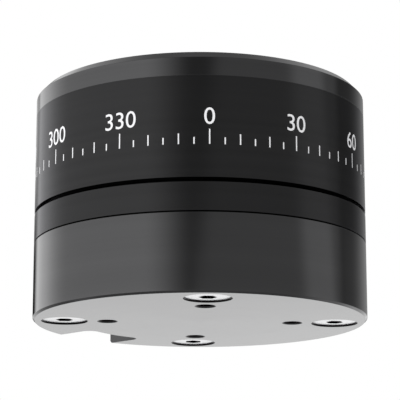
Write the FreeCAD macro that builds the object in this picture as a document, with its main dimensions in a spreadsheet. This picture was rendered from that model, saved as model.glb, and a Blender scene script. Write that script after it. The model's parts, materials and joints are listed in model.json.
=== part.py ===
"""Outrunner gimbal motor with a magnetic encoder in the housing under its stator.

Millimetres. The motor's axis is Z, the origin is the centre of the bottom face, and +Z points
from the encoder housing to the output face. The photographed front faces -Y.
"""
import FreeCAD, Part
import math
import os
import Sketcher

# Driving dimensions, one cell of the sheet each.
SIZES = {
    # Envelope shared by the housing, the flange and the bell
    "motor_diameter": 46.0,
    "edge_break": 0.1,
    "fit_clearance": 0.01,
    # Encoder housing
    "housing_height": 10.6,
    "housing_wall": 2.2,
    "housing_floor": 3.2,
    "housing_edge_chamfer": 0.28,
    "seam_height": 0.21,
    "seam_depth": 0.35,
    "screw_inset": 4.38,
    "pillar_diameter": 6.0,
    # Housing screws, M3 countersunk
    "screw_count": 4,
    "screw_diameter": 3.0,
    "screw_clearance": 0.15,
    "screw_engagement": 1.9,
    "head_diameter": 6.2,
    "head_clearance": 0.1,
    "head_recess": 0.16,
    "socket_width": 2.0,
    "socket_depth": 1.2,
    # Tapped mounting holes, the same on both faces
    "mount_circle": 25.5,
    "mount_count": 4,
    "mount_hole_diameter": 2.5,
    "mount_hole_mouth": 2.9,
    "mount_hole_floor": 0.5,
    # Cable outlet
    "cable_slot_angle": 135.0,
    "cable_slot_width": 10.3,
    "cable_slot_back": 16.7,
    "cable_slot_height": 4.5,
    "cable_slot_corner": 1.4,
    # Stator base
    "base_floor": 2.7,
    "base_rim_height": 3.75,
    "base_rim_width": 2.3,
    "lip_clearance": 0.3,
    "tube_wall": 1.6,
    "core_seat_width": 1.2,
    "bearing_shoulder": 0.9,
    "lower_bearing_recess": 0.2,
    # Stator core and windings
    "slot_count": 24,
    "stack_height": 8.0,
    "yoke_width": 1.8,
    "tooth_width": 2.0,
    "shoe_thickness": 0.6,
    "shoe_taper": 0.6,
    "slot_opening": 1.2,
    "insulator_thickness": 0.5,
    "insulator_clearance": 0.2,
    "coil_end": 2.0,
    "coil_gap": 0.4,
    "coil_clearance": 0.12,
    "coil_corner": 0.5,
    "coil_floor_gap": 1.4,
    "coil_cap_gap": 1.3,
    "lead_diameter": 1.0,
    "lead_clearance": 0.4,
    # Bell
    "running_gap": 0.6,
    "cap_plate": 2.9,
    "cap_rim_height": 3.42,
    "cap_edge_chamfer": 0.95,
    "spigot_wall": 0.9,
    "spigot_clearance": 0.4,
    "hub_wall": 2.5,
    "hub_drop": 1.5,
    "nose_height": 0.4,
    "ring_wall": 1.2,
    "magnet_count": 22,
    "magnet_thickness": 1.0,
    "magnet_overhang": 1.4,
    "magnet_spacing": 1.2,
    "air_gap": 0.3,
    # Shaft and what holds it in the lower bearing
    "shaft_diameter": 8.0,
    "shaft_wall": 0.75,
    "shaft_web": 0.8,
    "shaft_end": 0.8,
    "bore_chamfer": 0.3,
    "shim_thickness": 0.25,
    "clip_thickness": 0.7,
    "clip_width": 1.0,
    "clip_groove_depth": 0.3,
    "clip_opening": 3.6,
    # Ball bearings
    "bearing_outer_diameter": 16.0,
    "bearing_width": 5.0,
    "race_gap": 1.6,
    "ball_diameter": 2.0,
    "ball_count": 10,
    "ball_clearance": 0.03,
    "cage_clearance": 0.2,
    "cage_web": 0.35,
    "cage_lip": 0.4,
    "shield_thickness": 0.2,
    "shield_recess": 0.1,
    "shield_clearance": 0.15,
    # Encoder
    "encoder_magnet_diameter": 4.0,
    "encoder_magnet_thickness": 2.5,
    "holder_wall": 0.6,
    "holder_floor": 0.5,
    "sensing_gap": 1.5,
    "board_thickness": 1.0,
    "board_clearance": 0.7,
    "board_screw_inset": 3.8,
    "board_post_diameter": 4.6,
    "board_screw_diameter": 2.0,
    "board_screw_clearance": 0.1,
    "board_screw_engagement": 1.7,
    "board_head_diameter": 3.6,
    "board_head_height": 1.2,
    "board_socket_width": 1.3,
    "board_socket_depth": 0.7,
    "chip_length": 5.0,
    "chip_width": 4.4,
    "chip_height": 1.0,
    "pin_count": 7,
    "pin_pitch": 0.65,
    "pin_width": 0.25,
    "pin_reach": 1.0,
    "pin_thickness": 0.3,
    "capacitor_length": 1.6,
    "capacitor_width": 0.8,
    "capacitor_height": 0.7,
    "capacitor_pitch": 2.2,
    "capacitor_offset": 5.2,
}

# Radii
MOTOR = "(dims.motor_diameter / 2)"
SCREW_CIRCLE = f"({MOTOR} - dims.screw_inset)"
SCREW = "(dims.screw_diameter / 2)"
HEAD = "(dims.head_diameter / 2)"
SHAFT = "(dims.shaft_diameter / 2)"
BEARING = "(dims.bearing_outer_diameter / 2)"
BALL = "(dims.ball_diameter / 2)"
BALL_CIRCLE = f"(({SHAFT} + {BEARING}) / 2)"
INNER_LAND = f"({BALL_CIRCLE} - dims.race_gap / 2)"
OUTER_LAND = f"({BALL_CIRCLE} + dims.race_gap / 2)"
TUBE = f"({BEARING} + dims.tube_wall)"
CORE_SEAT = f"({TUBE} + dims.core_seat_width)"
YOKE = f"({TUBE} + dims.yoke_width)"
RING_INSIDE = f"({MOTOR} - dims.ring_wall)"
MAGNET_INSIDE = f"({RING_INSIDE} - dims.magnet_thickness)"
CORE = f"({MAGNET_INSIDE} - dims.air_gap)"
SLOT_END = f"({CORE} - dims.shoe_thickness - dims.shoe_taper)"
COIL_START = f"({YOKE} + dims.coil_gap)"
LEAD_CIRCLE = f"({COIL_START} + dims.lead_diameter)"
ENCODER_MAGNET = "(dims.encoder_magnet_diameter / 2)"
HOLDER = f"({ENCODER_MAGNET} + dims.holder_wall)"
BOARD = f"({SCREW_CIRCLE} - dims.pillar_diameter / 2 - dims.board_clearance)"
BOARD_SCREW_CIRCLE = f"({BOARD} - dims.board_screw_inset)"

# Heights above the bottom face
HOUSING_TOP = "dims.housing_height"
BASE_FLOOR_TOP = f"({HOUSING_TOP} + dims.base_floor)"
RIM_TOP = f"({HOUSING_TOP} + dims.base_rim_height)"
COIL_BOTTOM = f"({BASE_FLOOR_TOP} + dims.coil_floor_gap)"
CORE_BOTTOM = f"({COIL_BOTTOM} + dims.coil_end + dims.insulator_thickness)"
CORE_TOP = f"({CORE_BOTTOM} + dims.stack_height)"
COIL_TOP = f"({CORE_TOP} + dims.insulator_thickness + dims.coil_end)"
CAP_UNDERSIDE = f"({COIL_TOP} + dims.coil_cap_gap)"
MOTOR_TOP = f"({CAP_UNDERSIDE} + dims.cap_plate)"
CAP_SEAT = f"({MOTOR_TOP} - dims.cap_rim_height)"
BELL_BOTTOM = f"({RIM_TOP} + dims.running_gap)"
MAGNET_BOTTOM = f"({CORE_BOTTOM} - dims.magnet_overhang)"
MAGNET_TOP = f"({CORE_TOP} + dims.magnet_overhang)"
TUBE_TOP = f"({CAP_UNDERSIDE} - dims.hub_drop)"
UPPER_BEARING = f"({TUBE_TOP} - dims.bearing_width)"
LOWER_BEARING = f"({HOUSING_TOP} + dims.lower_bearing_recess)"
CLIP_TOP = f"({LOWER_BEARING} - dims.shim_thickness)"
CLIP_BOTTOM = f"({CLIP_TOP} - dims.clip_thickness)"
SHAFT_BOTTOM = f"({CLIP_BOTTOM} - dims.shaft_end)"
WEB_BOTTOM = f"({SHAFT_BOTTOM} + dims.encoder_magnet_thickness + dims.holder_floor)"
CHIP_TOP = f"({SHAFT_BOTTOM} - dims.sensing_gap)"
BOARD_TOP = f"({CHIP_TOP} - dims.chip_height)"
BOARD_BOTTOM = f"({BOARD_TOP} - dims.board_thickness)"

# Directions
SLOT_PITCH = "(360 / dims.slot_count)"
BOARD_SCREW_ANGLES = [f"(dims.cable_slot_angle + {turn})" for turn in (90, 180, 270)]
LEAD_ANGLES = [f"(dims.cable_slot_angle + {step} * {SLOT_PITCH})" for step in (-1, 0, 1)]
COILS_IN_A_ROW = 4
PHASES = ("phase_a_windings", "phase_b_windings", "phase_c_windings")

doc = FreeCAD.newDocument("gimbal_motor")
sheet = doc.addObject("Spreadsheet::Sheet", "dims")
for row, (alias, size) in enumerate(SIZES.items(), start=1):
    sheet.set(f"A{row}", alias)
    sheet.set(f"B{row}", str(size))
    sheet.setAlias(f"B{row}", alias)
doc.recompute()

parts = []


def value(expression):
    """The number that an expression of the sheet gives now."""
    return float(sheet.evalExpression(expression))


def origin_feature(body, role):
    """The body's own origin plane or axis with that role."""
    return next(item for item in body.Origin.OriginFeatures if item.Role == role)


def new_body(label, is_part=True):
    """A body; the ones that are only copied from aren't sub-parts themselves."""
    body = doc.addObject("PartDesign::Body", label)
    body.Label = label
    if is_part:
        parts.append(body)
    return body


def new_sketch(body, name, plane="XY_Plane", level=None, turn=None):
    """A sketch on one of the body's origin planes, raised by level and turned about its normal."""
    sketch = body.newObject("Sketcher::SketchObject", name)
    sketch.AttachmentSupport = [(origin_feature(body, plane), "")]
    sketch.MapMode = "FlatFace"
    if level:
        sketch.setExpression("AttachmentOffset.Base.z", level)
    if turn:
        sketch.setExpression("AttachmentOffset.Rotation.Angle", turn)
    return sketch


def bind(sketch, constraint, expression):
    """Adds a constraint whose size follows the sheet."""
    index = sketch.addConstraint(constraint)
    sketch.setExpression(f"Constraints[{index}]", expression)


def place_point(sketch, geometry, point, x, y):
    """Fixes a point of the sketch at x, y; a plain "0" puts it on the axis."""
    vertical_axis, horizontal_axis = -2, -1
    for axis, kind, place in ((vertical_axis, "DistanceX", x), (horizontal_axis, "DistanceY", y)):
        if place == "0":
            sketch.addConstraint(Sketcher.Constraint("PointOnObject", geometry, point, axis))
        else:
            bind(sketch, Sketcher.Constraint(kind, -1, 1, geometry, point, value(place)), place)


def add_circle(sketch, diameter, x="0", y="0"):
    """A circle bound to the sheet."""
    centre = FreeCAD.Vector(value(x), value(y), 0)
    circle = sketch.addGeometry(Part.Circle(centre, FreeCAD.Vector(0, 0, 1), value(diameter) / 2))
    place_point(sketch, circle, 3, x, y)
    bind(sketch, Sketcher.Constraint("Diameter", circle, value(diameter)), diameter)


def add_outline(sketch, corners):
    """A closed outline of straight lines through corners that are bound to the sheet."""
    first = sketch.GeometryCount
    points = [FreeCAD.Vector(value(x), value(y), 0) for x, y in corners]
    for start, end in zip(points, points[1:] + points[:1]):
        sketch.addGeometry(Part.LineSegment(start, end))
    for step, (x, y) in enumerate(corners):
        line = first + step
        following = first + (step + 1) % len(corners)
        sketch.addConstraint(Sketcher.Constraint("Coincident", line, 2, following, 1))
        place_point(sketch, line, 1, x, y)


def rectangle(left, right, bottom, top):
    """The corners of an upright rectangle."""
    return [(left, bottom), (right, bottom), (right, top), (left, top)]


def revolve(body, name, *outlines, angle="360", axis=None, midplane=False):
    """Outlines in radius and height, turned about Z or about a line parallel to it at axis."""
    sketch = new_sketch(body, f"{name}_profile", "XZ_Plane")
    for outline in outlines:
        add_outline(sketch, outline)
    reference = "V_Axis"
    if axis:
        foot, head = FreeCAD.Vector(value(axis), 0, 0), FreeCAD.Vector(value(axis), 1, 0)
        line = sketch.addGeometry(Part.LineSegment(foot, head), True)
        place_point(sketch, line, 1, axis, "0")
        sketch.addConstraint(Sketcher.Constraint("Vertical", line))
        bind(sketch, Sketcher.Constraint("DistanceY", line, 1, line, 2, 1), HOUSING_TOP)
        reference = "Axis0"
    feature = body.newObject("PartDesign::Revolution", name)
    feature.Profile = sketch
    feature.ReferenceAxis = (sketch, [reference])
    feature.Midplane = midplane
    feature.setExpression("Angle", angle)
    return feature


def pad(body, name, sketch, length):
    """Adds a sketch's shape upwards."""
    feature = body.newObject("PartDesign::Pad", name)
    feature.Profile = sketch
    feature.setExpression("Length", length)
    return feature


def pocket(body, name, sketch, depth=None):
    """Cuts a sketch's shape along its plane's normal, through everything without a depth."""
    doc.recompute()
    before = body.Shape.Volume
    feature = body.newObject("PartDesign::Pocket", name)
    feature.Profile = sketch
    feature.Reversed = True
    if depth:
        feature.setExpression("Length", depth)
    else:
        feature.Type = "ThroughAll"
    doc.recompute()
    if body.Shape.Volume >= before:
        raise RuntimeError(f"{name} cuts nothing")
    return feature


def polar(body, name, features, count):
    """Repeats features evenly about Z."""
    pattern = body.newObject("PartDesign::PolarPattern", name)
    pattern.Originals = features
    pattern.Axis = (origin_feature(body, "Z_Axis"), [""])
    pattern.Angle = 360
    pattern.setExpression("Occurrences", count)
    body.Tip = pattern
    return pattern


def polar_points(radius, angles):
    """Places on a circle about Z."""
    return [(f"{radius} * cos({angle})", f"{radius} * sin({angle})") for angle in angles]


def circle_sketch(body, name, diameter, points, level=None):
    """A sketch with one circle at each point."""
    sketch = new_sketch(body, name, level=level)
    for x, y in points:
        add_circle(sketch, diameter, x, y)
    return sketch


def polar_group(label, source, angles):
    """Copies of one solid about Z, as the separate solids of one sub-part."""
    doc.recompute()
    copies = []
    for angle in angles:
        copy = source.Shape.copy()
        copy.rotate(FreeCAD.Vector(0, 0, 0), FreeCAD.Vector(0, 0, 1), angle)
        copies.extend(copy.Solids)
    group = doc.addObject("Part::Feature", label)
    group.Label = label
    group.Shape = Part.makeCompound(copies)
    group.Placement = FreeCAD.Placement()
    parts.append(group)


def tapped_holes(body, level, plate, upwards):
    """The four mounting holes: flat-bottomed, with a broken edge at the mouth."""
    place = [("dims.mount_circle / 2", "0")]
    sketch = circle_sketch(body, "mount_circle", "dims.mount_hole_diameter", place, level)
    doc.recompute()
    before = body.Shape.Volume
    hole = body.newObject("PartDesign::Hole", "mount_hole")
    hole.Profile = sketch
    hole.Reversed = upwards
    hole.DepthType = "Dimension"
    hole.DrillPoint = "Flat"
    hole.HoleCutType = "Countersink"
    hole.HoleCutCustomValues = True
    hole.HoleCutCountersinkAngle = 90
    hole.setExpression("Diameter", "dims.mount_hole_diameter")
    hole.setExpression("Depth", f"{plate} - dims.mount_hole_floor")
    hole.setExpression("HoleCutDiameter", "dims.mount_hole_mouth")
    polar(body, "mount_holes", [hole], "dims.mount_count")
    doc.recompute()
    if body.Shape.Volume >= before:
        raise RuntimeError("the mounting holes cut nothing")


def slotted_disc(label, outside, bore, level, thickness):
    """A disc with the stator's slots: parallel-sided teeth that end in shoes."""
    body = new_body(label)
    blank = new_sketch(body, "blank", level=level)
    add_circle(blank, f"2 * {outside}")
    add_circle(blank, f"2 * {bore}")
    pad(body, "disc", blank, thickness)
    half_pitch = f"({SLOT_PITCH} / 2)"
    side = f"(dims.tooth_width / 2 / cos({half_pitch}))"
    bottom_half = f"({YOKE} * tan({half_pitch}) - {side})"
    top_half = f"({SLOT_END} * tan({half_pitch}) - {side})"
    mouth_half = "(dims.slot_opening / 2)"
    shoe_edge = f"({SLOT_END} + dims.shoe_taper)"
    upper = [(YOKE, bottom_half), (SLOT_END, top_half), (shoe_edge, mouth_half), (MOTOR, mouth_half)]
    lower = [(x, f"-{y}") for x, y in reversed(upper)]
    slot = new_sketch(body, "slot", level=level, turn=half_pitch)
    add_outline(slot, upper + lower)
    cut = pocket(body, "slot_cut", slot)
    polar(body, "slots", [cut], "dims.slot_count")


def encoder_housing():
    """Turned cup under the stator: pillars for the long screws, posts for the board, cable outlet.

    A step round its top edge leaves a fine dark seam under the flange.
    """
    body = new_body("encoder_housing")
    cavity = f"({MOTOR} - dims.housing_wall)"
    chamfer = "dims.housing_edge_chamfer"
    seam = f"({MOTOR} - dims.seam_depth)"
    seam_floor = f"({HOUSING_TOP} - dims.seam_height)"
    revolve(body, "cup", [
        ("0", "0"),
        (f"{MOTOR} - {chamfer}", "0"),
        (MOTOR, chamfer),
        (MOTOR, seam_floor),
        (seam, seam_floor),
        (seam, HOUSING_TOP),
        (cavity, HOUSING_TOP),
        (cavity, "dims.housing_floor"),
        ("0", "dims.housing_floor"),
    ])
    screw_place = [(SCREW_CIRCLE, "0")]
    pillar = circle_sketch(body, "pillar_circle", "dims.pillar_diameter", screw_place, "dims.housing_floor")
    standing = pad(body, "pillar", pillar, f"{HOUSING_TOP} - dims.housing_floor")
    polar(body, "pillars", [standing], "dims.screw_count")
    post_places = polar_points(BOARD_SCREW_CIRCLE, BOARD_SCREW_ANGLES)
    posts = circle_sketch(
        body, "post_circles", "dims.board_post_diameter", post_places, "dims.housing_floor")
    pad(body, "posts", posts, f"{BOARD_BOTTOM} - dims.housing_floor")
    threads = circle_sketch(
        body, "post_threads", "dims.board_screw_diameter + 2 * dims.fit_clearance", post_places,
        f"{BOARD_BOTTOM} - dims.board_screw_engagement")
    pocket(body, "post_thread_cut", threads)
    countersunk_holes(body)
    tapped_holes(body, None, "dims.housing_floor", upwards=True)
    cable_outlet(body)


def countersunk_holes(body):
    """Clear holes for the long screws, with a short straight rim above each countersink."""
    rim = f"({HEAD} + dims.head_clearance)"
    clear = f"({SCREW} + dims.screw_clearance)"
    doc.recompute()
    before = body.Shape.Volume
    sketch = new_sketch(body, "countersink_profile", "XZ_Plane")
    add_outline(sketch, [
        (SCREW_CIRCLE, "0"),
        (f"{SCREW_CIRCLE} + {rim}", "0"),
        (f"{SCREW_CIRCLE} + {rim}", "dims.head_recess"),
        (f"{SCREW_CIRCLE} + {clear}", f"dims.head_recess + {rim} - {clear}"),
        (f"{SCREW_CIRCLE} + {clear}", HOUSING_TOP),
        (SCREW_CIRCLE, HOUSING_TOP),
    ])
    cut = body.newObject("PartDesign::Groove", "countersink")
    cut.Profile = sketch
    cut.ReferenceAxis = (sketch, ["Edge6"])
    cut.Angle = 360
    polar(body, "countersinks", [cut], "dims.screw_count")
    doc.recompute()
    if body.Shape.Volume >= before:
        raise RuntimeError("the countersinks cut nothing")


def cable_outlet(body):
    """A slot through the floor and the wall, with straight sides and an end that follows the axis."""
    half = "(dims.cable_slot_width / 2)"
    back = "dims.cable_slot_back"
    corner = FreeCAD.Vector(value(f"sqrt({back}^2 - {half}^2)"), value(half), 0)
    spread = value(f"asin({half} / {back})")
    slot = new_sketch(body, "cable_slot", turn="dims.cable_slot_angle")
    mouth = FreeCAD.Vector(value("dims.motor_diameter"), value(half), 0)
    mirrored_corner, mirrored_mouth = (FreeCAD.Vector(point.x, -point.y, 0) for point in (corner, mouth))
    lower = slot.addGeometry(Part.LineSegment(mirrored_corner, mirrored_mouth))
    outer = slot.addGeometry(Part.LineSegment(mirrored_mouth, mouth))
    upper = slot.addGeometry(Part.LineSegment(mouth, corner))
    circle = Part.Circle(FreeCAD.Vector(0, 0, 0), FreeCAD.Vector(0, 0, 1), value(back))
    end = slot.addGeometry(Part.ArcOfCircle(circle, -math.radians(spread), math.radians(spread)))
    for first, second in ((lower, outer), (outer, upper)):
        slot.addConstraint(Sketcher.Constraint("Coincident", first, 2, second, 1))
    slot.addConstraint(Sketcher.Constraint("Coincident", upper, 2, end, 2))
    slot.addConstraint(Sketcher.Constraint("Coincident", end, 1, lower, 1))
    slot.addConstraint(Sketcher.Constraint("Coincident", end, 3, -1, 1))
    bind(slot, Sketcher.Constraint("Radius", end, value(back)), back)
    place_point(slot, outer, 1, "dims.motor_diameter", f"-{half}")
    place_point(slot, outer, 2, "dims.motor_diameter", half)
    for line in (lower, upper):
        slot.addConstraint(Sketcher.Constraint("Horizontal", line))
    cut = pocket(body, "cable_slot_cut", slot, "dims.cable_slot_height")
    turn = FreeCAD.Rotation(FreeCAD.Vector(0, 0, 1), value("dims.cable_slot_angle"))
    middle = FreeCAD.Vector(0, 0, value("dims.housing_floor / 2"))
    corners = [turn.multVec(point) + middle for point in (corner, mirrored_corner)]
    edges = [
        f"Edge{number}"
        for number, edge in enumerate(cut.Shape.Edges, start=1)
        if any(edge.CenterOfMass.isEqual(point, value("dims.edge_break")) for point in corners)
    ]
    rounding = body.newObject("PartDesign::Fillet", "cable_slot_corners")
    rounding.Base = (cut, edges)
    rounding.setExpression("Radius", "dims.cable_slot_corner")


def housing_screws():
    """Four countersunk hex-socket screws from the bottom face up into the stator base."""
    body = new_body("housing_screws")
    seat = "(dims.head_recess + dims.head_clearance - dims.fit_clearance)"
    tip = f"({HOUSING_TOP} + dims.screw_engagement)"
    screw = revolve(body, "screw", [
        (SCREW_CIRCLE, "dims.head_recess"),
        (f"{SCREW_CIRCLE} + {HEAD}", "dims.head_recess"),
        (f"{SCREW_CIRCLE} + {HEAD}", seat),
        (f"{SCREW_CIRCLE} + {SCREW}", f"{seat} + {HEAD} - {SCREW}"),
        (f"{SCREW_CIRCLE} + {SCREW}", tip),
        (SCREW_CIRCLE, tip),
    ], axis=SCREW_CIRCLE)
    socket = hex_socket(body, SCREW_CIRCLE, "dims.head_recess", "dims.socket_width", "dims.socket_depth")
    polar(body, "screws", [screw, socket], "dims.screw_count")


def hex_socket(body, circle, level, width, depth):
    """A hexagonal recess whose corners point along the radius."""
    sketch = new_sketch(body, "socket_outline", level=level)
    corner = f"({width} / sqrt(3))"
    add_outline(sketch, [
        (f"{circle} + {corner} * cos({turn})", f"{corner} * sin({turn})" if turn % 180 else "0")
        for turn in range(0, 360, 60)
    ])
    return pocket(body, "socket", sketch, depth)


def stator_base():
    """Flange with a rim, a floor and the tube that carries both bearings and the core.

    A lip on the rim stands inside the bell's lower edge and closes the running gap to view.
    """
    body = new_body("stator_base")
    middle_bore = f"({BEARING} - dims.bearing_shoulder)"
    seat = f"({BEARING} + dims.fit_clearance)"
    lower_shoulder = f"({LOWER_BEARING} + dims.bearing_width)"
    rim_inside = f"({MOTOR} - dims.base_rim_width)"
    lip = f"({RING_INSIDE} - dims.lip_clearance)"
    lip_top = f"({MAGNET_BOTTOM} - dims.lip_clearance)"
    revolve(body, "turning", [
        (middle_bore, lower_shoulder),
        (seat, lower_shoulder),
        (seat, HOUSING_TOP),
        (MOTOR, HOUSING_TOP),
        (MOTOR, RIM_TOP),
        (lip, RIM_TOP),
        (lip, lip_top),
        (rim_inside, lip_top),
        (rim_inside, BASE_FLOOR_TOP),
        (CORE_SEAT, BASE_FLOOR_TOP),
        (CORE_SEAT, CORE_BOTTOM),
        (TUBE, CORE_BOTTOM),
        (TUBE, TUBE_TOP),
        (seat, TUBE_TOP),
        (seat, UPPER_BEARING),
        (middle_bore, UPPER_BEARING),
    ])
    thread = circle_sketch(
        body, "thread_circle", "dims.screw_diameter + 2 * dims.fit_clearance",
        [(SCREW_CIRCLE, "0")], HOUSING_TOP)
    thread_hole = pocket(body, "thread", thread, "dims.base_floor")
    polar(body, "threads", [thread_hole], "dims.screw_count")
    leads = circle_sketch(
        body, "lead_circles", "dims.lead_diameter + 2 * dims.lead_clearance",
        polar_points(LEAD_CIRCLE, LEAD_ANGLES), HOUSING_TOP)
    pocket(body, "lead_holes", leads, "dims.base_floor")


def coil():
    """One coil, wedge-shaped to fill its half of the slots beside a tooth; the phases copy it."""
    body = new_body("coil", is_part=False)
    half_pitch = f"({SLOT_PITCH} / 2)"
    end = f"({SLOT_END} - dims.coil_gap)"
    start_half = f"({COIL_START} * tan({half_pitch}) - dims.coil_clearance)"
    end_half = f"({end} * tan({half_pitch}) - dims.coil_clearance)"
    plan = new_sketch(body, "coil_plan", level=COIL_BOTTOM)
    add_outline(plan, [
        (COIL_START, f"-{start_half}"),
        (end, f"-{end_half}"),
        (end, end_half),
        (COIL_START, start_half),
    ])
    block = pad(body, "coil_block", plan, f"{COIL_TOP} - {COIL_BOTTOM}")
    doc.recompute()
    reach = value(f"({end} - {COIL_START}) / 2")
    long_edges = [
        f"Edge{number}"
        for number, edge in enumerate(block.Shape.Edges, start=1)
        if edge.BoundBox.XLength > reach
    ]
    rounding = body.newObject("PartDesign::Fillet", "coil_corners")
    rounding.Base = (block, long_edges)
    rounding.setExpression("Radius", "dims.coil_corner")
    window = new_sketch(body, "tooth_window", "YZ_Plane")
    half = "(dims.tooth_width / 2 + dims.coil_clearance)"
    window_bottom = f"({CORE_BOTTOM} - dims.insulator_thickness)"
    window_top = f"({CORE_TOP} + dims.insulator_thickness)"
    add_outline(window, rectangle(f"-{half}", half, window_bottom, window_top))
    pocket(body, "tooth_window_cut", window)
    return body


def windings():
    """Three phases, wound in rows of four teeth that repeat on the far side."""
    source = coil()
    pitch = value(SLOT_PITCH)
    for number, label in enumerate(PHASES):
        teeth = [
            tooth for tooth in range(round(value("dims.slot_count")))
            if tooth // COILS_IN_A_ROW % len(PHASES) == number
        ]
        polar_group(label, source, [tooth * pitch for tooth in teeth])


def phase_leads():
    """Insulated leads, straight down from three coils to the board."""
    body = new_body("phase_leads")
    wires = circle_sketch(
        body, "lead_circles", "dims.lead_diameter", polar_points(LEAD_CIRCLE, LEAD_ANGLES), BOARD_TOP)
    pad(body, "leads", wires, f"{COIL_BOTTOM} - {BOARD_TOP}")


def ball_bearing(name, bottom):
    """Shielded ball bearing: two races, balls, a crown cage and two shields."""
    middle = f"({bottom} + dims.bearing_width / 2)"
    top = f"({bottom} + dims.bearing_width)"
    races = (
        (f"{name}_inner_race", f"({SHAFT} + dims.fit_clearance)", INNER_LAND),
        (f"{name}_outer_race", OUTER_LAND, BEARING),
    )
    for label, inside, outside in races:
        body = new_body(label)
        revolve(body, "ring", rectangle(inside, outside, bottom, top))
        groove = body.newObject("PartDesign::SubtractiveTorus", "ball_groove")
        attach(body, groove, "0", middle)
        groove.setExpression("Radius1", BALL_CIRCLE)
        groove.setExpression("Radius2", f"{BALL} + dims.ball_clearance")
    balls = new_body(f"{name}_bearing_balls")
    ball = balls.newObject("PartDesign::AdditiveSphere", "ball")
    attach(balls, ball, BALL_CIRCLE, middle)
    ball.setExpression("Radius", BALL)
    polar(balls, "balls", [ball], "dims.ball_count")
    cage = new_body(f"{name}_ball_cage")
    revolve(cage, "crown", rectangle(
        f"{INNER_LAND} + dims.cage_clearance", f"{OUTER_LAND} - dims.cage_clearance",
        f"{middle} - {BALL} - dims.cage_web", f"{middle} + dims.cage_lip"))
    window = new_sketch(cage, "ball_window", "YZ_Plane")
    add_circle(window, f"2 * ({BALL} + dims.ball_clearance)", "0", middle)
    opening = pocket(cage, "ball_pocket", window)
    polar(cage, "ball_pockets", [opening], "dims.ball_count")
    shields = new_body(f"{name}_bearing_shields")
    inside, outside = f"{INNER_LAND} + dims.shield_clearance", f"{OUTER_LAND} - dims.fit_clearance"
    inset = "(dims.shield_recess + dims.shield_thickness)"
    revolve(
        shields, "discs",
        rectangle(inside, outside, f"{bottom} + dims.shield_recess", f"{bottom} + {inset}"),
        rectangle(inside, outside, f"{top} - {inset}", f"{top} - dims.shield_recess"))


def attach(body, primitive, x, z):
    """Puts a primitive of the body at x, z."""
    primitive.AttachmentSupport = [(origin_feature(body, "XY_Plane"), "")]
    primitive.MapMode = "FlatFace"
    primitive.setExpression("AttachmentOffset.Base.x", x)
    primitive.setExpression("AttachmentOffset.Base.z", z)


def rotor_cap():
    """Top of the bell: plate, spigot for the ring, hub with a nose on the upper inner race."""
    body = new_body("rotor_cap")
    bore = f"({SHAFT} + dims.fit_clearance)"
    hub = f"({SHAFT} + dims.hub_wall)"
    nose_top = f"({TUBE_TOP} + dims.nose_height)"
    spigot = f"({RING_INSIDE} - dims.fit_clearance)"
    spigot_inside = f"({spigot} - dims.spigot_wall)"
    spigot_bottom = f"({MAGNET_TOP} + dims.spigot_clearance)"
    revolve(body, "turning", [
        (bore, TUBE_TOP),
        (INNER_LAND, TUBE_TOP),
        (INNER_LAND, nose_top),
        (hub, nose_top),
        (hub, CAP_UNDERSIDE),
        (spigot_inside, CAP_UNDERSIDE),
        (spigot_inside, spigot_bottom),
        (spigot, spigot_bottom),
        (spigot, CAP_SEAT),
        (MOTOR, CAP_SEAT),
        (MOTOR, f"{MOTOR_TOP} - dims.cap_edge_chamfer"),
        (f"{MOTOR} - dims.cap_edge_chamfer", MOTOR_TOP),
        (f"{bore} + dims.edge_break", MOTOR_TOP),
        (bore, f"{MOTOR_TOP} - dims.edge_break"),
    ])
    tapped_holes(body, MOTOR_TOP, "dims.cap_plate", upwards=False)


def flux_ring():
    """Steel ring of the bell, which closes the magnets' field."""
    body = new_body("flux_ring")
    revolve(body, "ring", rectangle(RING_INSIDE, MOTOR, BELL_BOTTOM, CAP_SEAT))


def magnets():
    """Arc magnets bonded inside the ring, north and south poles in turn."""
    pole = new_body("magnet", is_part=False)
    section = rectangle(MAGNET_INSIDE, f"{RING_INSIDE} - dims.fit_clearance", MAGNET_BOTTOM, MAGNET_TOP)
    revolve(pole, "arc", section, angle="360 / dims.magnet_count - dims.magnet_spacing", midplane=True)
    pitch = value("360 / dims.magnet_count")
    count = round(value("dims.magnet_count"))
    for first, label in enumerate(("north_magnets", "south_magnets")):
        polar_group(label, pole, [number * pitch for number in range(first, count, 2)])


def shaft():
    """Hollow shaft, closed by a web above the encoder magnet's holder."""
    body = new_body("shaft")
    bore = f"({SHAFT} - dims.shaft_wall)"
    groove = f"({SHAFT} - dims.clip_groove_depth)"
    pocket_wall = f"({HOLDER} + dims.fit_clearance)"
    revolve(body, "turning", [
        (pocket_wall, SHAFT_BOTTOM),
        (SHAFT, SHAFT_BOTTOM),
        (SHAFT, CLIP_BOTTOM),
        (groove, CLIP_BOTTOM),
        (groove, CLIP_TOP),
        (SHAFT, CLIP_TOP),
        (SHAFT, f"{MOTOR_TOP} - dims.edge_break"),
        (f"{SHAFT} - dims.edge_break", MOTOR_TOP),
        (f"{bore} + dims.bore_chamfer", MOTOR_TOP),
        (bore, f"{MOTOR_TOP} - dims.bore_chamfer"),
        (bore, f"{WEB_BOTTOM} + dims.shaft_web"),
        ("0", f"{WEB_BOTTOM} + dims.shaft_web"),
        ("0", WEB_BOTTOM),
        (pocket_wall, WEB_BOTTOM),
    ])


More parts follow.
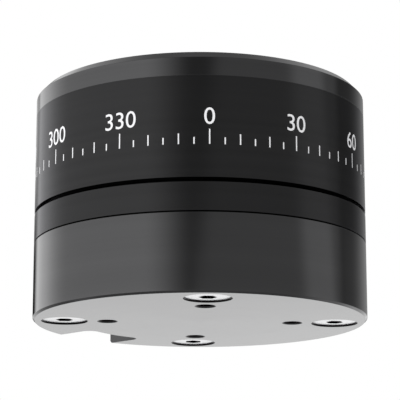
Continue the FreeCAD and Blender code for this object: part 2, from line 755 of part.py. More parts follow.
def shaft_retainers():
    """Shim washer and open retaining ring under the lower inner race."""
    washer = new_body("shim_washer")
    bore = f"{SHAFT} + dims.fit_clearance"
    revolve(washer, "washer", rectangle(bore, INNER_LAND, CLIP_TOP, LOWER_BEARING))
    clip = new_body("retaining_ring")
    inside = f"({SHAFT} - dims.clip_groove_depth + dims.fit_clearance)"
    revolve(clip, "ring", rectangle(inside, f"{SHAFT} + dims.clip_width", CLIP_BOTTOM, CLIP_TOP))
    half = "dims.clip_opening / 2"
    gap = new_sketch(clip, "opening", level=CLIP_BOTTOM)
    add_outline(gap, rectangle("0", "dims.shaft_diameter", f"-{half}", half))
    pocket(clip, "opening_cut", gap)


def encoder_magnet():
    """Magnet across its diameter, in a holder in the shaft's lower end."""
    holder = new_body("magnet_holder")
    inside = f"({ENCODER_MAGNET} + dims.fit_clearance)"
    magnet_top = f"({SHAFT_BOTTOM} + dims.encoder_magnet_thickness)"
    revolve(holder, "turning", [
        (inside, SHAFT_BOTTOM),
        (HOLDER, SHAFT_BOTTOM),
        (HOLDER, WEB_BOTTOM),
        ("0", WEB_BOTTOM),
        ("0", magnet_top),
        (inside, magnet_top),
    ])
    disc = new_body("encoder_magnet")
    sketch = new_sketch(disc, "disc_circle", level=SHAFT_BOTTOM)
    add_circle(sketch, "dims.encoder_magnet_diameter")
    pad(disc, "disc", sketch, "dims.encoder_magnet_thickness")


def encoder_board():
    """Round board on the housing's posts, with the sensor on the motor's axis."""
    board = new_body("encoder_board")
    blank = new_sketch(board, "blank", level=BOARD_BOTTOM)
    add_circle(blank, f"2 * {BOARD}")
    pad(board, "disc", blank, "dims.board_thickness")
    holes = circle_sketch(
        board, "screw_circles", "dims.board_screw_diameter + 2 * dims.board_screw_clearance",
        polar_points(BOARD_SCREW_CIRCLE, BOARD_SCREW_ANGLES), BOARD_BOTTOM)
    pocket(board, "screw_holes", holes)
    chip = new_body("encoder_chip")
    half_length, half_width = "dims.chip_length / 2", "dims.chip_width / 2"
    case = new_sketch(chip, "case_outline", level=BOARD_TOP)
    add_outline(case, rectangle(f"-{half_length}", half_length, f"-{half_width}", half_width))
    pad(chip, "case", case, "dims.chip_height")
    row = new_sketch(chip, "pin_outlines", level=BOARD_TOP)
    reach = f"({half_width} + dims.pin_reach)"
    for number in range(round(value("dims.pin_count"))):
        middle = f"({number} - (dims.pin_count - 1) / 2) * dims.pin_pitch"
        left, right = f"{middle} - dims.pin_width / 2", f"{middle} + dims.pin_width / 2"
        add_outline(row, rectangle(left, right, f"-{reach}", reach))
    pad(chip, "pins", row, "dims.pin_thickness")
    capacitors = new_body("board_capacitors")
    blocks = new_sketch(capacitors, "block_outlines", level=BOARD_TOP)
    left = "dims.capacitor_offset - dims.capacitor_width / 2"
    right = "dims.capacitor_offset + dims.capacitor_width / 2"
    for step in (-1, 0, 1):
        middle = f"{step} * dims.capacitor_pitch"
        bottom, top = f"{middle} - dims.capacitor_length / 2", f"{middle} + dims.capacitor_length / 2"
        add_outline(blocks, rectangle(left, right, bottom, top))
    pad(capacitors, "blocks", blocks, "dims.capacitor_height")


def board_screws():
    """Three small pan-head screws that hold the board on its posts."""
    screw = new_body("board_screw", is_part=False)
    head = "(dims.board_head_diameter / 2)"
    shank = "(dims.board_screw_diameter / 2)"
    tip = f"({BOARD_BOTTOM} - dims.board_screw_engagement)"
    top = f"({BOARD_TOP} + dims.board_head_height)"
    revolve(screw, "screw", [
        (BOARD_SCREW_CIRCLE, tip),
        (f"{BOARD_SCREW_CIRCLE} + {shank}", tip),
        (f"{BOARD_SCREW_CIRCLE} + {shank}", BOARD_TOP),
        (f"{BOARD_SCREW_CIRCLE} + {head}", BOARD_TOP),
        (f"{BOARD_SCREW_CIRCLE} + {head}", top),
        (BOARD_SCREW_CIRCLE, top),
    ], axis=BOARD_SCREW_CIRCLE)
    socket_floor = f"({top} - dims.board_socket_depth)"
    hex_socket(
        screw, BOARD_SCREW_CIRCLE, socket_floor, "dims.board_socket_width", "dims.board_socket_depth")
    polar_group("board_screws", screw, [value(angle) for angle in BOARD_SCREW_ANGLES])


encoder_housing()
housing_screws()
stator_base()
slotted_disc("stator_core", CORE, f"({TUBE} + dims.fit_clearance)", CORE_BOTTOM, "dims.stack_height")
insulator = (f"({CORE} - dims.shoe_thickness)", f"({CORE_SEAT} + dims.insulator_clearance)")
insulator_bottom = f"({CORE_BOTTOM} - dims.insulator_thickness)"
slotted_disc("lower_insulator", *insulator, insulator_bottom, "dims.insulator_thickness")
slotted_disc("upper_insulator", *insulator, CORE_TOP, "dims.insulator_thickness")
windings()
phase_leads()
ball_bearing("upper", UPPER_BEARING)
ball_bearing("lower", LOWER_BEARING)
rotor_cap()
flux_ring()
magnets()
shaft()
shaft_retainers()
encoder_magnet()
encoder_board()
board_screws()
doc.recompute()

for item in doc.Objects:
    if "Invalid" in item.State or "Error" in item.State:
        raise RuntimeError(f"{item.Label} failed: {item.State}")
for part in parts:
    if part.Shape.isNull() or not part.Shape.isValid() or not part.Shape.Solids:
        raise RuntimeError(f"{part.Label} has no valid solid")

os.makedirs("parts", exist_ok=True)
for part in parts:
    part.Shape.exportStep(f"parts/{part.Label}.step")
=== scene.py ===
"""Looks of the gimbal motor: finishes, small details, camera and studio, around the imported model."""
import json
import math
from typing import NamedTuple

import bmesh
import bpy
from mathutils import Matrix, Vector


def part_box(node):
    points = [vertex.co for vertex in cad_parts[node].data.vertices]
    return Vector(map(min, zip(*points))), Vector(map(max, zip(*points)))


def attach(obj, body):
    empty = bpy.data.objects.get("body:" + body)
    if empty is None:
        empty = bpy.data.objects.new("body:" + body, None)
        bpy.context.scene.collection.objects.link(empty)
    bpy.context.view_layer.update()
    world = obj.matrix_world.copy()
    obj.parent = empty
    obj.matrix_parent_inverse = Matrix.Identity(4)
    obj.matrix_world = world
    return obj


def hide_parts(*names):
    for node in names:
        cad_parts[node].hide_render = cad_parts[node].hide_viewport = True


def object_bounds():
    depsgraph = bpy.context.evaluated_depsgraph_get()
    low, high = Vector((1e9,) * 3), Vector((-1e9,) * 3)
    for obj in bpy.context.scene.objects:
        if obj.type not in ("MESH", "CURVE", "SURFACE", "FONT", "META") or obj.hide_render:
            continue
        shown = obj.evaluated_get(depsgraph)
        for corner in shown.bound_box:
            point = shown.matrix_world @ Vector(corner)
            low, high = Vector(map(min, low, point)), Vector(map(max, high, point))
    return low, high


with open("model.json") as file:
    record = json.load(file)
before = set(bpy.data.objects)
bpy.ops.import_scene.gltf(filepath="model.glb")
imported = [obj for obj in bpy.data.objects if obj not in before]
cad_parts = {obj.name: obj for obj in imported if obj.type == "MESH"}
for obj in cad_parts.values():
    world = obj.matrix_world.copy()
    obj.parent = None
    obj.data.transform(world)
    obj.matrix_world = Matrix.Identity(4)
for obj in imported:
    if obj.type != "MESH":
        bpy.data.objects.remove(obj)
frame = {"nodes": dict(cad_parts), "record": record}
cad_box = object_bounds()

MM = 0.001
MICRON = 0.001 * MM
WHITE = (1.0, 1.0, 1.0, 1.0)
COOL_TINT = 1.02


def grey(level):
    """A neutral colour, a little on the cool side."""
    return (level, level, level * COOL_TINT, 1.0)


# Camera, in the part's frame
CAMERA_PLACE = Vector((-13.53, -249.91, -41.42)) * MM
CAMERA_TURN = math.radians(3.1)
CAMERA_PITCH = math.radians(13.201)
FOCAL_LENGTH = 165.37
SENSOR_WIDTH = 36.0
NEAREST_SEEN = 10 * MM

# Studio light. Azimuths run in degrees from the camera to the right, elevations from the horizon.
FILL_LEVEL = 0.11
AZIMUTH_START = -60
LEAN_LEVEL = 13


class Softbox(NamedTuple):
    """A light as the gloss sees it: limits, half widths of its soft sides, level, and leaning sides."""
    azimuth: tuple
    edges: tuple
    elevation: tuple
    level: float
    leans: tuple = (0, 0)
    elevation_edge: float = 8


SOFTBOXES = {
    "left_bank": Softbox((246, 400), (14, 10), (-45, 45), 0.69),
    "front_left_bank": Softbox((-120, -22), (10, 18), (-45, 45), 0.69),
    "left_rear_bank": Softbox((206.8, 244.5), (6, 15), (-8, 28), 1.26),
    "left_rear_high": Softbox((185, 203), (4, 3), (13.2, 17), 0.68, elevation_edge=2.5),
    "left_rear_top": Softbox((182, 201), (5, 6), (22, 39), 0.6, elevation_edge=4),
    "left_overhead": Softbox((195, 245), (8, 10), (30, 52), 0.15),
    "front_low": Softbox((-30, 1), (12, 5), (-20, 9), 0.17),
    "right_bank": Softbox((3, 110), (6, 5), (-50, 62), 0.18, leans=(1.5, -0.3)),
    "right_strip": Softbox((72, 100), (6, 5), (-30, 50), 0.25, leans=(-1.4, -1.4)),
    "right_rear_bank": Softbox((141, 176), (16, 6), (-8, 30), 0.22),
    "right_rear_low": Softbox((112, 150), (8, 10), (-8, 12.3), 0.055, elevation_edge=1.2),
    "right_overhead": Softbox((140, 170), (10, 10), (36, 52), 0.15),
    "rear_flag": Softbox((182, 204), (6, 5), (4, 12.5), -0.1, elevation_edge=2.5),
    "rear_sweep": Softbox((133, 211), (24, 24), (-75, 1), 0.93, elevation_edge=5),
    "rear_overhead": Softbox((118, 242), (10, 10), (30, 62), 0.42),
    "overhead": Softbox((-90, 450), (9, 9), (62, 120), 0.2),
    "underside": Softbox((-90, 450), (9, 9), (-120, -26), 0.12),
}

# Lamps for matt surfaces only: azimuth, elevation, strength
LAMPS = ((-22, 30, 2.2), (105, 35, 1.5), (228, 35, 1.5))
LAMP_SPREAD = math.radians(50)

# Floor, in metres
FLOOR_HALF_WIDTH = 3.0
FLOOR_DROP = 0.2 * MM
FLOOR_FADE = (0.12, 0.45)
FLOOR_COLOUR = (0.86, 0.86, 0.86, 1.0)
FLOOR_GLOW = 0.12

# Surface detail that the finishes share
EDGE_RADIUS = 0.06 * MM
EDGE_SAMPLES = 4
# Painted shade: ambient occlusion darkens the base colour towards near black inside holes, sockets and
# seams
CREVICE_SHADE_REACH = 3.0 * MM
CREVICE_SHADE_RANGE = (0.62, 0.94)
CREVICE_SHADE_SAMPLES = 8
PAINTED_SHADE_COLOUR = (0.004, 0.004, 0.004, 1.0)
NOISE_ROUGHNESS = 0.5
GRAIN_DETAIL = 2.0
GRAIN_RANGE = (0.25, 0.75)
MOTTLE_RANGE = (0.35, 0.65)
MOTTLE_GRAINS = 20
MOTTLE_DETAIL = 3.0
SMUDGE_SIZE = 9 * MM
SMUDGE_DETAIL = 3.0
SMUDGE_RANGE = (0.45, 0.7)
SMUDGE_ROUGHNESS = 0.03

# Tool marks on turned metal
TOOL_MARK_DETAIL = 3.0
TOOL_MARK_ROUGHNESS = 0.6
TOOL_MARK_SHEEN = {"Anisotropic": 0.4, "Anisotropic Rotation": 0.25}
TURNED_MOTTLE_LINES = 5
TURNED_MOTTLE_DETAIL = 4.0

# Plain values of the shaders
BARE_METAL = {"Metallic": 1.0}
BLACK_METAL = {"Metallic": 0.8, "Specular Tint": grey(0.75)}
VARNISHED_METAL = {"Metallic": 0.9}
NO_METAL = {"Metallic": 0.0}


class Finish(NamedTuple):
    """A surface: colours it drifts between, roughness limits, grain size and depth, shader values."""
    colours: tuple
    roughness: tuple
    grain: float
    depth: float
    shader: dict


TURNED_FINISHES = {
    "satin_anodised": Finish(
        (grey(0.124), grey(0.134)), (0.09, 0.13), 0.25 * MM, 0.5 * MICRON, BARE_METAL),
    "deep_anodised": Finish(
        (grey(0.039), grey(0.044)), (0.12, 0.17), 0.25 * MM, 0.5 * MICRON, BLACK_METAL),
    "blackened_steel": Finish(
        (grey(0.039), grey(0.044)), (0.12, 0.17), 0.2 * MM, 0.5 * MICRON, BLACK_METAL),
    "shaft_steel": Finish(
        (grey(0.55), grey(0.62)), (0.16, 0.26), 0.12 * MM, 0.8 * MICRON, BARE_METAL),
    "bearing_steel": Finish(
        (grey(0.66), grey(0.72)), (0.08, 0.15), 0.1 * MM, 0.3 * MICRON, BARE_METAL),
    "lamination_steel": Finish(
        (grey(0.28), grey(0.4)), (0.3, 0.45), 0.35 * MM, 12 * MICRON, BARE_METAL),
    "enamelled_copper": Finish(
        ((0.42, 0.13, 0.045, 1.0), (0.58, 0.21, 0.07, 1.0)), (0.16, 0.3), 0.32 * MM, 40 * MICRON,
        VARNISHED_METAL),
    "holder_brass": Finish(
        ((0.62, 0.43, 0.17, 1.0), (0.7, 0.5, 0.22, 1.0)), (0.18, 0.3), 0.12 * MM, 1.0 * MICRON,
        BARE_METAL),
}
PLAIN_FINISHES = {
    "stainless_screw": Finish(
        (grey(0.665), grey(0.72)), (0.14, 0.24), 0.12 * MM, 0.6 * MICRON, BARE_METAL),
    "pressed_steel": Finish(
        (grey(0.5), grey(0.58)), (0.25, 0.4), 0.2 * MM, 1.0 * MICRON, BARE_METAL),
    "spring_steel": Finish(
        (grey(0.12), grey(0.17)), (0.28, 0.42), 0.2 * MM, 1.0 * MICRON, BARE_METAL),
    "nickel_magnet": Finish(
        ((0.56, 0.54, 0.49, 1.0), (0.63, 0.61, 0.56, 1.0)), (0.12, 0.25), 0.2 * MM, 1.0 * MICRON,
        BARE_METAL),
    "insulator_nylon": Finish(
        ((0.13, 0.15, 0.17, 1.0), (0.17, 0.19, 0.21, 1.0)), (0.4, 0.55), 0.15 * MM, 2.0 * MICRON,
        NO_METAL),
    "lead_silicone": Finish(
        (grey(0.02), grey(0.035)), (0.45, 0.6), 0.2 * MM, 3.0 * MICRON, NO_METAL),
    "board_laminate": Finish(
        ((0.01, 0.075, 0.03, 1.0), (0.015, 0.1, 0.045, 1.0)), (0.22, 0.36), 0.3 * MM, 4.0 * MICRON,
        NO_METAL),
    "chip_epoxy": Finish(
        (grey(0.012), grey(0.022)), (0.5, 0.65), 0.08 * MM, 2.0 * MICRON, NO_METAL),
    "capacitor_ceramic": Finish(
        ((0.3, 0.19, 0.1, 1.0), (0.38, 0.25, 0.14, 1.0)), (0.4, 0.55), 0.1 * MM, 1.5 * MICRON,
        NO_METAL),
}

# Angle scale printed round the bell, its steps in degrees
SCALE_STEP = 5
SCALE_MIDDLE_STEP = 10
SCALE_NUMBER_STEP = 30
TICK_WIDTH = 0.17 * MM
TICK_LENGTHS = {SCALE_STEP: 0.9 * MM, SCALE_MIDDLE_STEP: 1.4 * MM, SCALE_NUMBER_STEP: 2.0 * MM}
DIGIT_HEIGHT = 2.2 * MM
DIGIT_SHARE_OF_SIZE = 0.69
DIGIT_CURVE_STEPS = 5
DIGIT_GAP = 0.65 * MM
PRINT_THICKNESS = 0.012 * MM
PRINT_SEAT = 0.014 * MM
PRINT_WELD = 1 * MICRON
PRINT_COLOURS = (grey(0.84), grey(0.9))
PRINT_GRAIN = 0.1 * MM
PRINT_DETAIL = 3.0
PRINT_ROUGHNESS = (0.4, 0.55)
PRINT_SHEEN = {"Specular IOR Level": 0.3}

# Threads in the tapped holes
THREAD_PITCH = 0.5 * MM
THREAD_HEIGHT = 0.16 * MM
THREAD_FLANK = 0.42 * THREAD_PITCH
THREAD_BITE = 0.02 * MM
THREAD_SEGMENTS = 28
THREAD_START = 0.45 * MM
THREAD_DEPTH = 1.9 * MM

# Countersunk screws in the bottom face, each socket's corner turned from the line to the motor's axis
SCREW_TURNS = [math.radians(degrees) for degrees in (6, -3, 2, 30)]
SCREW_SEGMENTS = 48
SCREW_HEAD_RADIUS = 3.09 * MM
SCREW_DOME = 0.035 * MM
SCREW_DOME_STEPS = 5
SCREW_RIM_RADIUS = 0.04 * MM
SCREW_RIM_STEPS = 3
SCREW_SHANK_RADIUS = 1.5 * MM
SCREW_POINT = 0.3 * MM
SOCKET_SIDES = 6
SOCKET_WIDTH = 2.1 * MM
SOCKET_DEPTH = 1.2 * MM
SOCKET_CONE = 0.3 * MM
SMOOTH_ANGLE = math.radians(30)


# Node helpers

def add_node(tree, kind, inputs=None, **settings):
    """A shader node with its settings, and with its inputs linked or set."""
    node = tree.nodes.new(kind)
    for name, setting in settings.items():
        setattr(node, name, setting)
    for name, entry in (inputs or {}).items():
        if isinstance(entry, bpy.types.NodeSocket):
            tree.links.new(entry, node.inputs[name])
        else:
            node.inputs[name].default_value = entry
    return node


def calculate(tree, operation, *entries):
    """The result of one math node."""
    return add_node(tree, "ShaderNodeMath", dict(enumerate(entries)), operation=operation).outputs[0]


def rescale(tree, entry, from_range, to_range=(0.0, 1.0), smooth=False):
    """An entry moved from one range to another and held inside it."""
    node = add_node(tree, "ShaderNodeMapRange", {
        "Value": entry,
        "From Min": from_range[0],
        "From Max": from_range[1],
        "To Min": to_range[0],
        "To Max": to_range[1],
    }, interpolation_type="SMOOTHSTEP" if smooth else "LINEAR")
    return node.outputs["Result"]


def split(tree, vector):
    """The x, y and z of a vector."""
    return add_node(tree, "ShaderNodeSeparateXYZ", {"Vector": vector}).outputs


def object_point(tree):
    """The shaded point in its own object's coordinates, which turn with the object."""
    return add_node(tree, "ShaderNodeTexCoord").outputs["Object"]


def axis_distance(tree, x, y):
    """The distance from the Z axis."""
    x_square = calculate(tree, "MULTIPLY", x, x)
    y_square = calculate(tree, "MULTIPLY", y, y)
    return calculate(tree, "SQRT", calculate(tree, "ADD", x_square, y_square))


def lathe_point(tree):
    """The shaded point as radius and height, the same all the way round the axis."""
    x, y, z = split(tree, object_point(tree))
    radius = axis_distance(tree, x, y)
    return add_node(tree, "ShaderNodeCombineXYZ", {"X": radius, "Y": z}).outputs["Vector"]


def noise(tree, vector, size, detail, roughness=NOISE_ROUGHNESS):
    """Noise whose largest features measure about size."""
    return add_node(tree, "ShaderNodeTexNoise", {
        "Vector": vector, "Scale": 1.0 / size, "Detail": detail, "Roughness": roughness,
    }).outputs["Fac"]


def blend_colours(tree, factor, first, second):
    """A colour between two others."""
    inputs = {"Factor": factor, "A": first, "B": second}
    return add_node(tree, "ShaderNodeMix", inputs, data_type="RGBA").outputs["Result"]


# Studio

def soft_window(tree, entries, limits, edges):
    """One between two limits, falling softly to zero outside; each limit has its own entry."""
    (low, high), (low_edge, high_edge) = limits, edges
    rise = rescale(tree, entries[0], (low - low_edge, low + low_edge), smooth=True)
    fall = rescale(tree, entries[1], (high - high_edge, high + high_edge), (1.0, 0.0), smooth=True)
    return calculate(tree, "MULTIPLY", rise, fall)


def studio_world():
    """Soft boxes round the object, seen in its gloss, in front of plain white."""
    world = bpy.data.worlds.new("studio")
    bpy.context.scene.world = world
    world.use_nodes = True
    tree = world.node_tree
    tree.nodes.clear()
    direction = add_node(tree, "ShaderNodeTexCoord").outputs["Generated"]
    turning = {"Vector": direction, "Angle": CAMERA_TURN}
    turned = add_node(tree, "ShaderNodeVectorRotate", turning, rotation_type="Z_AXIS")
    x, y, z = split(tree, turned.outputs["Vector"])
    leftwards = calculate(tree, "MULTIPLY", x, -1.0)
    from_behind = calculate(tree, "ARCTAN2", leftwards, y)
    from_camera = calculate(tree, "DEGREES", calculate(tree, "ADD", from_behind, math.pi))
    azimuth = calculate(tree, "WRAP", from_camera, AZIMUTH_START + 360, AZIMUTH_START)
    elevation = calculate(tree, "DEGREES", calculate(tree, "ARCSINE", z))
    above = calculate(tree, "SUBTRACT", elevation, LEAN_LEVEL)
    level = FILL_LEVEL
    for box in SOFTBOXES.values():
        leaning = [calculate(tree, "MULTIPLY_ADD", above, -lean, azimuth) for lean in box.leans]
        across = soft_window(tree, leaning, box.azimuth, box.edges)
        upright = soft_window(tree, [elevation] * 2, box.elevation, [box.elevation_edge] * 2)
        window = calculate(tree, "MULTIPLY", across, upright)
        level = calculate(tree, "MULTIPLY_ADD", window, box.level, level)
    studio = add_node(tree, "ShaderNodeBackground", {"Color": WHITE, "Strength": level})
    plain = add_node(tree, "ShaderNodeBackground", {"Color": WHITE})
    seen_by_camera = add_node(tree, "ShaderNodeLightPath").outputs["Is Camera Ray"]
    mixed = add_node(tree, "ShaderNodeMixShader", {
        0: seen_by_camera, 1: studio.outputs["Background"], 2: plain.outputs["Background"]})
    add_node(tree, "ShaderNodeOutputWorld", {"Surface": mixed.outputs["Shader"]})


def studio_lamps():
    """Broad lamps for the print, the plastics and the floor. The gloss is left to the soft boxes."""
    for number, (azimuth, elevation, strength) in enumerate(LAMPS, start=1):
        data = bpy.data.lights.new(f"lamp_{number}", "SUN")
        data.energy = strength
        data.angle = LAMP_SPREAD
        lamp = bpy.data.objects.new(f"lamp_{number}", data)
        turn, rise = math.radians(azimuth) - CAMERA_TURN, math.radians(elevation)
        level = math.cos(rise)
        towards = Vector((math.sin(turn) * level, -math.cos(turn) * level, math.sin(rise)))
        lamp.rotation_mode = "QUATERNION"
        lamp.rotation_quaternion = towards.to_track_quat("Z", "Y")
        lamp.visible_glossy = False
        bpy.context.scene.collection.objects.link(lamp)


def floor_material():
    """Pale and matt, fading into the white, and clear from below."""
    material = bpy.data.materials.new("pale_floor")
    material.use_nodes = True
    tree = material.node_tree
    tree.nodes.clear()
    x, y, _ = split(tree, object_point(tree))
    fade = rescale(tree, axis_distance(tree, x, y), FLOOR_FADE, smooth=True)
    underside = add_node(tree, "ShaderNodeNewGeometry").outputs["Backfacing"]
    clear = calculate(tree, "MAXIMUM", fade, underside)
    matt = add_node(tree, "ShaderNodeBsdfDiffuse", {"Color": FLOOR_COLOUR})
    glow = add_node(tree, "ShaderNodeEmission", {"Strength": FLOOR_GLOW})
    pale = add_node(tree, "ShaderNodeAddShader", {0: matt.outputs["BSDF"], 1: glow.outputs["Emission"]})
    through = add_node(tree, "ShaderNodeBsdfTransparent")
    mixed = add_node(tree, "ShaderNodeMixShader", {
        0: clear, 1: pale.outputs["Shader"], 2: through.outputs["BSDF"]})
    add_node(tree, "ShaderNodeOutputMaterial", {"Surface": mixed.outputs["Shader"]})
    return material


def studio_floor():
    """A pale floor under the object."""
    mesh = bpy.data.meshes.new("floor")
    half, level = FLOOR_HALF_WIDTH, cad_box[0].z - FLOOR_DROP
    corners = [(-half, -half, level), (half, -half, level), (half, half, level), (-half, half, level)]
    mesh.from_pydata(corners, [], [(0, 1, 2, 3)])
    mesh.materials.append(floor_material())
    floor = bpy.data.objects.new("floor", mesh)
    bpy.context.scene.collection.objects.link(floor)
    for ray in ("diffuse", "glossy", "transmission", "volume_scatter", "shadow"):
        setattr(floor, f"visible_{ray}", False)


def add_camera():
    """The camera at the photograph's viewing angle."""
    data = bpy.data.cameras.new("camera")
    data.lens = FOCAL_LENGTH
    data.sensor_width = SENSOR_WIDTH
    data.clip_start = NEAREST_SEEN
    camera = bpy.data.objects.new("camera", data)
    level = math.cos(CAMERA_PITCH)
    forward = Vector((
        math.sin(CAMERA_TURN) * level, math.cos(CAMERA_TURN) * level, math.sin(CAMERA_PITCH)))
    camera.location = CAMERA_PLACE
    camera.rotation_mode = "QUATERNION"
    camera.rotation_quaternion = forward.to_track_quat("-Z", "Y")
    bpy.context.scene.collection.objects.link(camera)
    bpy.context.scene.camera = camera


# Materials

def new_material(name, sockets):
    """A material, its node tree and its shader, with the shader's plain values set."""
    material = bpy.data.materials.new(name)
    material.use_nodes = True
    shader = material.node_tree.nodes["Principled BSDF"]
    for socket, setting in sockets.items():
        shader.inputs[socket].default_value = setting
    return material, material.node_tree, shader


def crevice(tree):
    """Painted shade mask from ambient occlusion: one on open surfaces, falling to zero inside holes,
    sockets and seams.
    """
    openness = add_node(
        tree, "ShaderNodeAmbientOcclusion", {"Distance": CREVICE_SHADE_REACH}, samples=CREVICE_SHADE_SAMPLES)
    return rescale(tree, openness.outputs["AO"], CREVICE_SHADE_RANGE)


def dress_shader(tree, shader, finish, height, mottle):
    """Links broken edges, relief, roughness that follows it, and colour that drifts, with painted shade
    that darkens it in holes, sockets and seams.
    """
    edges = add_node(tree, "ShaderNodeBevel", {"Radius": EDGE_RADIUS}, samples=EDGE_SAMPLES)
    bump = add_node(tree, "ShaderNodeBump", {
        "Height": height, "Distance": finish.depth, "Normal": edges.outputs["Normal"]})
    tree.links.new(bump.outputs["Normal"], shader.inputs["Normal"])
    smudge = noise(tree, object_point(tree), SMUDGE_SIZE, SMUDGE_DETAIL)
    smudged = rescale(tree, smudge, SMUDGE_RANGE, (0.0, SMUDGE_ROUGHNESS))
    marked = rescale(tree, height, GRAIN_RANGE, finish.roughness)
    tree.links.new(calculate(tree, "ADD", marked, smudged), shader.inputs["Roughness"])
    open_colour = blend_colours(tree, rescale(tree, mottle, MOTTLE_RANGE), *finish.colours)
    # Painted shade: the base colour goes to near black where ambient occlusion finds holes, sockets and
    # seams
    colour = blend_colours(tree, crevice(tree), PAINTED_SHADE_COLOUR, open_colour)
    tree.links.new(colour, shader.inputs["Base Color"])


def turned_metal(name, finish):
    """Metal with fine tool marks that run round the axis."""
    material, tree, shader = new_material(name, {**TOOL_MARK_SHEEN, **finish.shader})
    around = add_node(tree, "ShaderNodeTangent", direction_type="RADIAL", axis="Z")
    tree.links.new(around.outputs["Tangent"], shader.inputs["Tangent"])
    point = lathe_point(tree)
    lines = noise(tree, point, finish.grain, TOOL_MARK_DETAIL, TOOL_MARK_ROUGHNESS)
    mottle = noise(tree, point, TURNED_MOTTLE_LINES * finish.grain, TURNED_MOTTLE_DETAIL)
    dress_shader(tree, shader, finish, lines, mottle)
    return material


def plain_surface(name, finish):
    """A moulded, pressed or drawn surface with an even grain."""
    material, tree, shader = new_material(name, finish.shader)
    point = object_point(tree)
    grain = noise(tree, point, finish.grain, GRAIN_DETAIL)
    mottle = noise(tree, point, MOTTLE_GRAINS * finish.grain, MOTTLE_DETAIL)
    dress_shader(tree, shader, finish, grain, mottle)
    return material


def print_ink():
    """White pad-printed ink, a little uneven."""
    material, tree, shader = new_material("print_ink", PRINT_SHEEN)
    cover = noise(tree, object_point(tree), PRINT_GRAIN, PRINT_DETAIL)
    tree.links.new(blend_colours(tree, cover, *PRINT_COLOURS), shader.inputs["Base Color"])
    tree.links.new(rescale(tree, cover, GRAIN_RANGE, PRINT_ROUGHNESS), shader.inputs["Roughness"])
    return material


def dress_nodes():
    """Gives each CAD node the finish of its slot in the record, and returns each node's material."""
    made = {name: turned_metal(name, finish) for name, finish in TURNED_FINISHES.items()}
    made.update((name, plain_surface(name, finish)) for name, finish in PLAIN_FINISHES.items())
    slots = {part["node"]: part["material_slot"] for part in frame["record"]["subparts"]}
    for name, node in frame["nodes"].items():
        node.material_slots[0].material = made[slots[name]]
    return {name: made[slots[name]] for name in frame["nodes"]}


# Details

def add_piece(name, drawing, body, material):
    """A new object from a bmesh, riding on a body."""
    bmesh.ops.recalc_face_normals(drawing, faces=drawing.faces)
    mesh = bpy.data.meshes.new(name)
    drawing.to_mesh(mesh)
    drawing.free()
    mesh.materials.append(material)
    piece = bpy.data.objects.new(name, mesh)
    bpy.context.scene.collection.objects.link(piece)
    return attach(piece, body)


def join_rings(drawing, ring, following):
    """Faces from one closed ring of points to the next."""
    for first in range(len(ring)):
        second = (first + 1) % len(ring)
        drawing.faces.new((ring[first], ring[second], following[second], following[first]))


def number_mesh(text):
    """A flat number, centred, standing on its baseline."""
    curve = bpy.data.curves.new("number", "FONT")
    curve.body = text
    curve.size = DIGIT_HEIGHT / DIGIT_SHARE_OF_SIZE
    curve.align_x = "CENTER"
    curve.resolution_u = DIGIT_CURVE_STEPS
    curve.extrude = PRINT_THICKNESS
    holder = bpy.data.objects.new("number", curve)
    bpy.context.scene.collection.objects.link(holder)
    graph = bpy.context.evaluated_depsgraph_get()
    mesh = bpy.data.meshes.new_from_object(holder.evaluated_get(graph))
    bpy.data.objects.remove(holder)
    bpy.data.curves.remove(curve)
    return mesh


def wrap(point, turn, radius, height):
    """A point of a flat drawing, laid on the bell's side at an angle from the front."""
    angle = turn + point[0] / radius
    out = radius + point[2]
    return Vector((out * math.sin(angle), -out * math.cos(angle), height + point[1]))


def angle_scale():
    """Degree ticks and plain numbers printed round the bell's steel ring."""
    low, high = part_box("flux_ring")
    radius = high.x - PRINT_SEAT + PRINT_THICKNESS
    longest = max(TICK_LENGTHS.values())
    baseline = (low.z + high.z - longest - DIGIT_GAP - DIGIT_HEIGHT) / 2
    drawing = bmesh.new()
    for degrees in range(0, 360, SCALE_STEP):
        turn = math.radians(degrees)
        length = max(size for step, size in TICK_LENGTHS.items() if degrees % step == 0)
        for vert in bmesh.ops.create_cube(drawing, size=1.0)["verts"]:
            x, y, z = vert.co
            flat = (x * TICK_WIDTH, (y + 0.5) * length, 2 * z * PRINT_THICKNESS)
            vert.co = wrap(flat, turn, radius, baseline)
        if degrees % SCALE_NUMBER_STEP == 0:
            number = number_mesh(str(degrees))
            first = len(drawing.verts)
            drawing.from_mesh(number)
            drawing.verts.ensure_lookup_table()
            for vert in drawing.verts[first:]:
                vert.co = wrap(vert.co, turn, radius, baseline + longest + DIGIT_GAP)
            bpy.data.meshes.remove(number)
    bmesh.ops.remove_doubles(drawing, verts=drawing.verts, dist=PRINT_WELD)
    add_piece("angle_scale", drawing, "rotor", print_ink())


def add_thread(drawing, centre, radius, mouth, inwards):
    """A helical ridge inside one tapped hole, from its mouth inwards along Z."""
    steps = round(THREAD_DEPTH / THREAD_PITCH * THREAD_SEGMENTS)
    root, crest = radius + THREAD_BITE, radius - THREAD_HEIGHT
    section = ((root, -THREAD_FLANK), (crest, 0.0), (root, THREAD_FLANK))
    rings = []
    for step in range(steps + 1):
        turn = math.tau * step / THREAD_SEGMENTS
        level = mouth + inwards * (THREAD_START + THREAD_PITCH * step / THREAD_SEGMENTS)
        ring = []
        for out, rise in section:
            x, y = centre.x + out * math.cos(turn), centre.y + out * math.sin(turn)
            ring.append(drawing.verts.new((x, y, level + inwards * rise)))
        rings.append(ring)
    for ring, following in zip(rings, rings[1:]):
        join_rings(drawing, ring, following)
    drawing.faces.new(rings[0])
    drawing.faces.new(rings[-1])


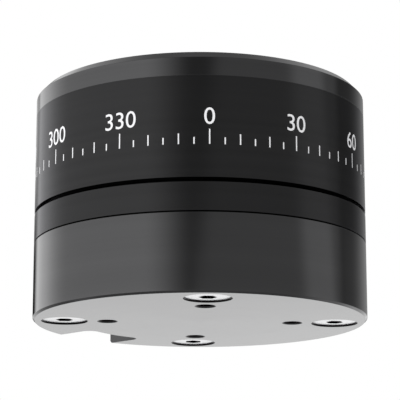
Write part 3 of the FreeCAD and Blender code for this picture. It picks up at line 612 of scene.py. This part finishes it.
def hole_threads(material_of):
    """Threads in the mounting holes of both faces."""
    mounts = {mount["name"]: mount for mount in frame["record"]["mounts"]}
    threaded = (("base_bolts", "encoder_housing", "stator"), ("output_bolts", "rotor_cap", "rotor"))
    for mount_name, node, body in threaded:
        mount = mounts[mount_name]
        dims = mount["dims"]
        circle, radius = dims["pcd_mm"] / 2 * MM, dims["hole_r_mm"] * MM
        drawing = bmesh.new()
        for number in range(dims["count"]):
            turn = math.tau * number / dims["count"]
            centre = Vector((circle * math.cos(turn), circle * math.sin(turn), 0.0))
            add_thread(drawing, centre, radius, mount["pos_m"][2], -mount["axis"][2])
        threads = add_piece(f"{node}_threads", drawing, body, material_of[node])


def socket_radii():
    """Radii round the socket's hexagon, from one of its corners."""
    side = math.tau / SOCKET_SIDES
    turns = [math.tau * segment / SCREW_SEGMENTS for segment in range(SCREW_SEGMENTS)]
    return [SOCKET_WIDTH / 2 / math.cos(turn % side - side / 2) for turn in turns]


def screw_sections():
    """Distances inwards from the head's top, each with its radii: socket, dome, rim, cone and shank."""
    low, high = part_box("housing_screws")
    length = high.z - low.z
    corner, dome_end = SOCKET_WIDTH / math.sqrt(3), SCREW_HEAD_RADIUS - SCREW_RIM_RADIUS
    rounds = []
    for step in range(1, SCREW_DOME_STEPS + 1):
        share = step / SCREW_DOME_STEPS
        rounds.append((SCREW_DOME * share ** 2, corner + (dome_end - corner) * share))
    for step in range(1, SCREW_RIM_STEPS + 1):
        turn = math.pi / 2 * step / SCREW_RIM_STEPS
        inwards = SCREW_DOME + SCREW_RIM_RADIUS * (1 - math.cos(turn))
        rounds.append((inwards, dome_end + SCREW_RIM_RADIUS * math.sin(turn)))
    cone_start = SCREW_DOME + SCREW_RIM_RADIUS
    rounds += [
        (cone_start + SCREW_HEAD_RADIUS - SCREW_SHANK_RADIUS, SCREW_SHANK_RADIUS),
        (length - SCREW_POINT, SCREW_SHANK_RADIUS),
        (length, SCREW_SHANK_RADIUS - SCREW_POINT),
    ]
    socket = [(inwards, socket_radii()) for inwards in (SOCKET_DEPTH, 0.0)]
    return socket + [(inwards, [radius] * SCREW_SEGMENTS) for inwards, radius in rounds]


def add_screw(drawing, centre, start):
    """One screw, its socket's corner turned to start, with its tip upwards."""
    rings = []
    for inwards, radii in screw_sections():
        ring = []
        for segment, out in enumerate(radii):
            turn = start + math.tau * segment / SCREW_SEGMENTS
            offset = Vector((out * math.cos(turn), out * math.sin(turn), inwards))
            ring.append(drawing.verts.new(centre + offset))
        rings.append(ring)
    for ring, following in zip(rings, rings[1:]):
        join_rings(drawing, ring, following)
    drawing.faces.new(rings[-1])
    bottom = drawing.verts.new(centre + Vector((0.0, 0.0, SOCKET_DEPTH + SOCKET_CONE)))
    for first, vert in enumerate(rings[0]):
        drawing.faces.new((vert, rings[0][(first + 1) % SCREW_SEGMENTS], bottom))


def housing_screws(material):
    """Screws with low domes, rounded rims and hexagon sockets, in place of the plain ones."""
    node = frame["nodes"]["housing_screws"]
    across = [vert.co.x for vert in node.data.vertices if vert.co.x > abs(vert.co.y)]
    circle = (min(across) + max(across)) / 2
    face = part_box("housing_screws")[0].z
    drawing = bmesh.new()
    for number, turn in enumerate(SCREW_TURNS):
        place = math.tau * number / len(SCREW_TURNS)
        centre = Vector((circle * math.cos(place), circle * math.sin(place), face))
        add_screw(drawing, centre, place + turn)
    screws = add_piece("countersunk_screws", drawing, "stator", material)
    screws.data.shade_smooth()
    screws.data.set_sharp_from_angle(angle=SMOOTH_ANGLE)
    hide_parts("housing_screws")


bpy.context.scene.view_settings.view_transform = "Standard"
add_camera()
studio_world()
studio_lamps()
studio_floor()
material_of = dress_nodes()
angle_scale()
hole_threads(material_of)
housing_screws(material_of["housing_screws"])
